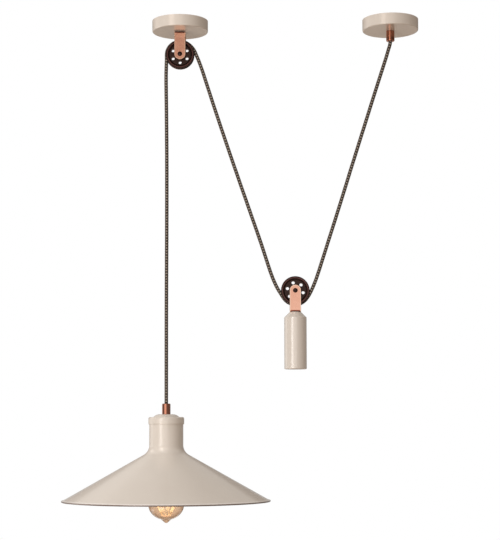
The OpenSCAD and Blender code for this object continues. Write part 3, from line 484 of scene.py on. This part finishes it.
def flex_stretch(name, path, length, done):
    """One stretch of flex as a closed braided tube. done is the length before it."""
    side = Vector((0, 1, 0))
    verts = []
    for i, (point, head) in enumerate(path):
        up = head.cross(side)
        v = done + length * i / (len(path) - 1)
        for k in range(FLEX_SIDES):
            angle = 2 * math.pi * k / FLEX_SIDES
            relief = yarn_height(k / FLEX_SIDES + BRAID_TURN, v) - YARN_MIDDLE
            r = FLEX_R + YARN_RELIEF * relief
            verts.append(point + r * (math.cos(angle) * side + math.sin(angle) * up))
    faces, uvs = [], []
    for i in range(len(path) - 1):
        v0 = done + length * i / (len(path) - 1)
        v1 = done + length * (i + 1) / (len(path) - 1)
        for k in range(FLEX_SIDES):
            a, b = FLEX_SIDES * i + k, FLEX_SIDES * i + (k + 1) % FLEX_SIDES
            faces.append((a, b, b + FLEX_SIDES, a + FLEX_SIDES))
            u0, u1 = k / FLEX_SIDES + BRAID_TURN, (k + 1) / FLEX_SIDES + BRAID_TURN
            uvs += [(u0, v0), (u1, v0), (u1, v1), (u0, v1)]
    for ring, turn in ((0, -1), (len(path) - 1, 1)):
        corners = [FLEX_SIDES * ring + k for k in range(FLEX_SIDES)][::turn]
        faces.append(tuple(corners))
        uvs += [(0, done + length * ring / (len(path) - 1))] * FLEX_SIDES
    mesh = bpy.data.meshes.new(name)
    mesh.from_pydata(verts, [], faces)
    layer = mesh.uv_layers.new(name="braid")
    for loop, uv in zip(layer.data, uvs):
        loop.uv = uv
    for polygon in mesh.polygons[:-2]:
        polygon.use_smooth = True
    mesh.materials.append(MATERIALS["flex_fabric"])
    obj = bpy.data.objects.new(name, mesh)
    bpy.context.scene.collection.objects.link(obj)
    stations = path[::max(1, len(path) // STATIONS)]
    return obj, [tuple(p) for p, _ in stations] + [tuple(path[-1][0])]


def flex_cloth(name):
    """Black and cream yarns, told apart by the carrier that lies on top at each place."""
    t = Nodes(name)
    uv = t.add("ShaderNodeUVMap", uv_map="braid").outputs["UV"]
    split = t.xyz(uv)
    turn = t.math("MULTIPLY", split["Y"], CARRIERS / BRAID_PITCH)
    spread = t.math("MULTIPLY", split["X"], CARRIERS)
    a = t.math("ADD", spread, turn)
    b = t.math("SUBTRACT", spread, turn)
    cell_a, cell_b = t.math("FLOOR", a), t.math("FLOOR", b)
    b_on_top = t.math("FLOORED_MODULO", t.math("ADD", cell_a, cell_b), 2.0)

    def chosen(of_a, of_b):
        """of_a where the a yarn is on top, of_b where the b yarn is."""
        change = t.math("SUBTRACT", of_b, of_a)
        return t.math("MULTIPLY_ADD", change, b_on_top, of_a)

    def light(cell):
        rest = t.math("FLOORED_MODULO", cell, float(LIGHT_EVERY))
        return t.math("LESS_THAN", rest, 0.5)

    is_light = chosen(light(cell_a), 0.0)
    across = t.math("FRACT", chosen(a, b))
    lengthwise = t.math("FRACT", chosen(b, a))
    centred = t.math("MULTIPLY_ADD", across, 2.0, -1.0)
    back = t.math("SUBTRACT", 1.0, t.math("MULTIPLY", centred, centred))
    groove = t.math("ABSOLUTE", t.math("SINE", t.math("MULTIPLY", across, math.pi * YARNS)))
    on_yarn = t.add("ShaderNodeCombineXYZ", {
        "X": t.math("MULTIPLY", across, 22.0),
        "Y": t.math("MULTIPLY", lengthwise, 3.0),
        "Z": t.math("MULTIPLY", cell_a, 3.7),
    }).outputs[0]
    fibres = t.noise(1.0, 2.0, 0.6, vector=on_yarn)
    fuzz = t.noise(2600.0, 3.0, 0.7)
    dark = t.ramp(fuzz, [(0.3, DARK_YARN[0]), (0.7, DARK_YARN[1])])
    soiled = t.math("MULTIPLY_ADD", t.noise(230.0, 2.0, 0.6), 0.9, 0.6)
    pale = t.ramp(t.math("MULTIPLY", fuzz, soiled), [(0.2, PALE_YARN[0]), (0.7, PALE_YARN[1])])
    # Painted shade: the colour darkens in the grooves between bundles and between yarns.
    between_bundles = t.math("MINIMUM", t.math("MULTIPLY", back, 2.2), 1.0)
    between_yarns = t.math("MULTIPLY_ADD", groove, 0.45, 0.55)
    shade = t.ramp(t.math("MULTIPLY", between_bundles, between_yarns), [(0.0, 0.25), (0.9, 1.0)])
    colour = t.mix(1.0, t.mix(is_light, dark, pale), shade, blend_type="MULTIPLY")
    height = t.math("MULTIPLY_ADD", fibres, 0.2, t.math("MULTIPLY_ADD", groove, 0.5, back))
    return t.surface(
        Base_Color=colour,
        Roughness=0.85,
        Specular_IOR_Level=0.25,
        Sheen_Weight=0.25,
        Sheen_Roughness=0.5,
        Normal=t.bump(height, 0.00012, 0.8),
    )


def blend_evenly(piece, body_a, body_b, start, end, low, high):
    """Bakes the piece's place into its mesh; body_a, body_b, start, end, low and high are not
    used.
    """
    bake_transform(piece)


LEG_CUTS = (0.1, 0.9)  # shares along a leg where it is cut into a short end part, a long middle and another short end part


def make_flex():
    """The stretches of the flex, in order from the lamp to the feed rose."""
    # Name, CAD node, route, first and last heading, bodies, and cuts along the stretch.
    rows = [
        ("flex_drop", "cord_drop", DROP[::-1], UP, UP, ("lamp", "ceiling"), ()),
        ("flex_over_wheel", "cord_over_wheel", OVER, UP, LEFT_START, ("ceiling",), ()),
        ("flex_left_leg", "cord_left_leg", LEFT, LEFT_START, LEFT_END,
         ("ceiling", "counterweight"), LEG_CUTS),
        ("flex_under_wheel", "cord_under_wheel", UNDER, LEFT_END, RIGHT_START,
         ("counterweight",), ()),
        ("flex_right_leg", "cord_right_leg", RIGHT, RIGHT_START, UP,
         ("counterweight", "ceiling"), LEG_CUTS),
    ]
    done = 0.0
    for name, node, route, first, last, bodies, cuts in rows:
        path, length = smooth_path(route, first, last)
        steps = len(path) - 1
        start, end = path[0][0], path[-1][0]
        way = end - start
        marks = [0, *[round(cut * steps) for cut in cuts], steps]
        for part, (a, b) in enumerate(zip(marks, marks[1:])):
            part_path, part_length = path[a:b + 1], length * (b - a) / steps
            part_name = f"{name}_{part + 1}" if cuts else name
            piece, stations = flex_stretch(part_name, part_path, part_length, done)
            done += part_length
            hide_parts(node)
            if cuts:
                low, high = [(path[k][0] - start).dot(way) / way.length_squared for k in (a, b)]
                blend_evenly(piece, *bodies, start, end, low, high)
            elif len(bodies) == 2:
                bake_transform(piece)
            else:
                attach(piece, bodies[0])


# ------------------------------------------------------------------ bulb

# The bulb of part.scad, in millimetres.
GLASS_R = 31.6
GLASS_WALL = 0.7
GLASS_NECK_R = 11.5
GLASS_FLARE = 1.4  # step of the glass from the screw cap to the bulb
GLASS_TOP_Z = -774.3
GLASS_FLARE_Z = -784.3
GLASS_STRAIGHT = 1.5  # height above the flare to which the neck stays straight
GLASS_WIDE_Z = -867.2
GLASS_TIP_Z = -899.2
GLASS_ROUND_H = 26.5  # from the widest place to the round end
PIP_R = 4.6
GLASS_SIDES = 128
GLASS_STEPS = 72  # from the flare to the widest place
ROUND_ANGLES = range(2, 73, 2)  # degrees below the widest place
PIP_ANGLES = range(50, 91, 5)  # degrees round the sealed tip


def glass_section(depth):
    """Half section of the glass, that far inside its outer face: [(radius, z)]."""
    wide_r, neck_r = GLASS_R - depth, GLASS_NECK_R - depth
    rows = [(neck_r, GLASS_TOP_Z), (neck_r, GLASS_FLARE_Z + GLASS_STRAIGHT)]
    for i in range(1, GLASS_STEPS + 1):
        t = i / GLASS_STEPS
        rows.append((neck_r + GLASS_FLARE
                     + (wide_r - neck_r - GLASS_FLARE) * math.sin(math.pi / 2 * t),
                     GLASS_FLARE_Z + (GLASS_WIDE_Z - GLASS_FLARE_Z) * t))
    for degrees in ROUND_ANGLES:
        a = math.radians(degrees)
        rows.append((wide_r * math.cos(a), GLASS_WIDE_Z - (GLASS_ROUND_H - depth) * math.sin(a)))
    for degrees in PIP_ANGLES:
        a = math.radians(degrees)
        rows.append(((PIP_R - depth) * math.cos(a),
                     GLASS_TIP_Z + PIP_R - (PIP_R - depth) * math.sin(a)))
    return rows


def make_glass():
    """The teardrop glass as a finely turned shell, hollow down to its sealed tip."""
    section = glass_section(0.0)[:-1] + [(0.0, GLASS_TIP_Z)]
    inner = glass_section(GLASS_WALL)[:-1] + [(0.0, GLASS_TIP_Z + GLASS_WALL)]
    verts, faces = [], []
    for rows in (section, inner):
        start = len(verts)
        for r, z in rows[:-1]:
            for k in range(GLASS_SIDES):
                a = 2 * math.pi * k / GLASS_SIDES
                verts.append((LAMP_X * MM + r * MM * math.cos(a), r * MM * math.sin(a), z * MM))
        verts.append((LAMP_X * MM, 0, rows[-1][1] * MM))
        outward = rows is section
        for i in range(len(rows) - 2):
            for k in range(GLASS_SIDES):
                a, b = start + GLASS_SIDES * i + k, start + GLASS_SIDES * i + (k + 1) % GLASS_SIDES
                quad = (a, a + GLASS_SIDES, b + GLASS_SIDES, b)
                faces.append(quad if outward else quad[::-1])
        last = start + GLASS_SIDES * (len(rows) - 2)
        for k in range(GLASS_SIDES):
            tri = (last + k, len(verts) - 1, last + (k + 1) % GLASS_SIDES)
            faces.append(tri if outward else tri[::-1])
    second = GLASS_SIDES * (len(section) - 1) + 1
    for k in range(GLASS_SIDES):
        n = (k + 1) % GLASS_SIDES
        faces.append((k, n, second + n, second + k))
    mesh = bpy.data.meshes.new("bulb_envelope")
    mesh.from_pydata(verts, [], faces)
    for polygon in mesh.polygons[:-GLASS_SIDES]:
        polygon.use_smooth = True
    mesh.materials.append(MATERIALS["amber_glass"])
    glass = bpy.data.objects.new("bulb_envelope", mesh)
    bpy.context.scene.collection.objects.link(glass)
    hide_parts("bulb_glass")
    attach(glass, "bulb")


# ------------------------------------------------------------------ materials of the nodes

MATERIALS = {
    "rose_paint": cream_paint("rose_paint", 0.34, 0.75, 0.3),
    "weight_paint": cream_paint("weight_paint", 0.30, 0.85, 0.15),
    "shade_paint": cream_paint("shade_paint", 0.42, 0.55, 0.7),
    "copper": copper("copper", (0.84, 0.455, 0.325), 0.19, (2200, 2200, 120), 4e-7,
                     strap=True),
    "wheel_brown": dark_bronze("wheel_brown", 0.27, crest=True),
    "dark_steel": dark_bronze("dark_steel", 0.30),
    "steel": metal("steel", (0.62, 0.62, 0.63), (0.46, 0.46, 0.48), 0.32),
    "bronze": metal("bronze", (0.50, 0.33, 0.15), (0.36, 0.22, 0.10), 0.35),
    "brass": metal("brass", (0.80, 0.60, 0.27), (0.66, 0.47, 0.18), 0.28),
    "ceramic": moulding("ceramic", (0.82, 0.80, 0.75), (0.74, 0.72, 0.66), 0.25),
    "phenolic": moulding("phenolic", (0.030, 0.027, 0.025), (0.014, 0.012, 0.011), 0.30),
    "core_sheath": moulding("core_sheath", (0.42, 0.16, 0.07), (0.33, 0.11, 0.05), 0.45),
    "bulb_metal": metal("bulb_metal", (0.80, 0.74, 0.60), (0.66, 0.60, 0.47), 0.30),
    "amber_glass": bulb_glass("amber_glass", (0.83, 0.665, 0.525), (0.34, 0.20, 0.11),
                              (0.90, 0.80, 0.70)),
    "clear_glass": bulb_glass("clear_glass", (0.96, 0.97, 0.96), (0.80, 0.82, 0.80),
                              (0.95, 0.95, 0.95)),
    "polished_copper": copper("polished_copper", (0.44, 0.165, 0.10), 0.10,
                              (2600, 2600, 90), 2e-7),
    "filament": glowing("filament", (1.0, 0.88, 0.58), 1.3),
    # The support wires glow only as a painted glint on their hooks.
    "hooks_painted_glint": glowing("hooks_painted_glint", (1.0, 0.74, 0.50), 0.75),
    "flex_fabric": flex_cloth("flex_fabric"),
}

# Nodes whose finish isn't their material slot's.
FINISHES = {"lamp_grip": "polished_copper", "feed_grip": "polished_copper",
            "bulb_supports": "hooks_painted_glint"}


def dress_nodes():
    """Every CAD node takes the material of its slot, or its own finish."""
    for row in frame["record"]["subparts"]:
        mesh = nodes[row["node"]].data
        mesh.materials.clear()
        mesh.materials.append(MATERIALS[FINISHES.get(row["node"], row["material_slot"])])


# ------------------------------------------------------------------ light and backdrop


LIGHT_AIM = (0.1, 0, -0.45)
# Name, place, size, watts and colour of the area lights. All point at LIGHT_AIM.
AREA_LIGHTS = [
    ("key_left", (-1.6, -2.15, -0.35), (1.2, 1.8), 49, (1, 1, 1)),
    ("edge_left", (-2.2, 0.3, 0.25), (1.6, 1.6), 3.5, (0.90, 0.96, 1.0)),
    ("fill_right", (1.7, -1.5, -1.3), (1.2, 1.2), 3.6, (1, 0.92, 0.85)),
    ("top_soft", (-0.3, -0.6, 1.4), (2.4, 2.4), 3, (1, 0.95, 0.89)),
]
BULB_LIGHT_Z = -0.850


def area_light(name, place, size, watts, colour):
    data = bpy.data.lights.new(name, "AREA")
    data.shape = "RECTANGLE"
    data.size, data.size_y = size
    data.energy = watts
    data.color = colour
    light = bpy.data.objects.new(name, data)
    light.location = place
    aim = Vector(LIGHT_AIM) - Vector(place)
    light.rotation_mode = "QUATERNION"
    light.rotation_quaternion = aim.to_track_quat("-Z", "Y")
    light.visible_camera = False
    light.visible_glossy = False  # gloss shows the studio's bands instead
    bpy.context.scene.collection.objects.link(light)


# What metal and gloss see round the horizon: (turn, brightness), from behind by the left.
STUDIO_BANDS = [(0.0, 0.56), (0.05, 0.48), (0.14, 0.44), (0.17, 1.05), (0.215, 1.05),
                (0.24, 0.26), (0.375, 0.24), (0.392, 3.0), (0.428, 3.0), (0.445, 1.15),
                (0.52, 1.10), (0.555, 0.32), (0.66, 0.26), (0.72, 0.26), (0.90, 0.26),
                (1.0, 0.60)]
# How those bands change with height: (height from -1 below to 1 above, colour).
STUDIO_FADE = [(-1.0, (0.45, 0.38, 0.32)), (-0.62, (0.45, 0.38, 0.32)), (-0.52, (2.3, 2.2, 2.1)),
               (-0.38, (2.3, 2.2, 2.1)), (-0.28, (0.70, 0.58, 0.47)), (-0.06, (0.90, 0.84, 0.78)),
               (0.03, (1.0, 1.0, 1.0)), (0.11, (1.0, 1.0, 1.0)), (0.21, (0.50, 0.42, 0.37)),
               (0.38, (0.50, 0.42, 0.37)), (0.46, (1.6, 1.5, 1.4)), (0.66, (1.6, 1.5, 1.4)),
               (0.78, (0.74, 0.68, 0.62)), (1.0, (0.74, 0.68, 0.62))]
# Soft light from below, from the horizon and from above.
STUDIO_SOFT = [(0.0, (0.37, 0.265, 0.18)), (0.5, (0.35, 0.30, 0.255)), (1.0, (0.65, 0.62, 0.585))]


def studio_world():
    """White to the camera, soft to the object, with strip lights and flags for gloss."""
    t = Nodes("studio", world=True)
    bpy.context.scene.world = t.mat
    way = t.add("ShaderNodeTexCoord").outputs["Generated"]
    split = t.xyz(way)
    height = t.math("MULTIPLY_ADD", split["Z"], 0.5, 0.5)
    soft = t.add("ShaderNodeBackground", {"Color": t.ramp(height, STUDIO_SOFT)})
    angle = t.math("ARCTAN2", split["X"], t.math("MULTIPLY", split["Y"], -1.0))
    bands = t.ramp(t.math("MULTIPLY_ADD", angle, 1 / (2 * math.pi), 0.5), STUDIO_BANDS)
    fade = t.ramp(height, [((h + 1) / 2, colour) for h, colour in STUDIO_FADE])
    gloss = t.add("ShaderNodeBackground", {"Color": fade, "Strength": bands})
    white = t.add("ShaderNodeBackground", {"Color": (1, 1, 1, 1)})
    path = t.add("ShaderNodeLightPath").outputs
    lit = t.either(path["Is Glossy Ray"], soft, gloss)
    open_view = t.math("MAXIMUM", path["Is Camera Ray"], path["Is Transmission Ray"])
    t.end(t.either(open_view, lit, white))


FLOOR_Z = -2.2
FLOOR_SIZE = 7.0
FLOOR_COLOUR = (0.41, 0.29, 0.195, 1)


def make_floor():
    """A warm floor far below the lamp. It lights the object and isn't seen."""
    mesh = bpy.data.meshes.new("floor")
    h = FLOOR_SIZE / 2
    corners = [(-h, -h, FLOOR_Z), (h, -h, FLOOR_Z), (h, h, FLOOR_Z), (-h, h, FLOOR_Z)]
    mesh.from_pydata(corners, [], [(0, 1, 2, 3)])
    t = Nodes("floor")
    mesh.materials.append(t.end(t.add("ShaderNodeBsdfDiffuse", {"Color": FLOOR_COLOUR})))
    floor = bpy.data.objects.new("floor", mesh)
    floor.visible_camera = False
    floor.visible_glossy = False
    floor.visible_transmission = False
    bpy.context.scene.collection.objects.link(floor)


def make_lights():
    """The area lights, and the glow that the bulb itself throws."""
    for row in AREA_LIGHTS:
        area_light(*row)
    bulb = bpy.data.lights.new("bulb_light", "POINT")
    bulb.energy = 0.08
    bulb.color = (1.0, 0.72, 0.42)
    bulb.shadow_soft_size = 0.02
    light = bpy.data.objects.new("bulb_light", bulb)
    light.location = (LAMP_X * MM, 0, BULB_LIGHT_Z)
    light.visible_camera = False
    light.visible_glossy = False
    light.visible_transmission = False
    bpy.context.scene.collection.objects.link(light)


# ------------------------------------------------------------------ the scene

bpy.context.scene.view_settings.view_transform = "Standard"
make_camera()
make_flex()
make_glass()
dress_nodes()
studio_world()
make_floor()
make_lights()
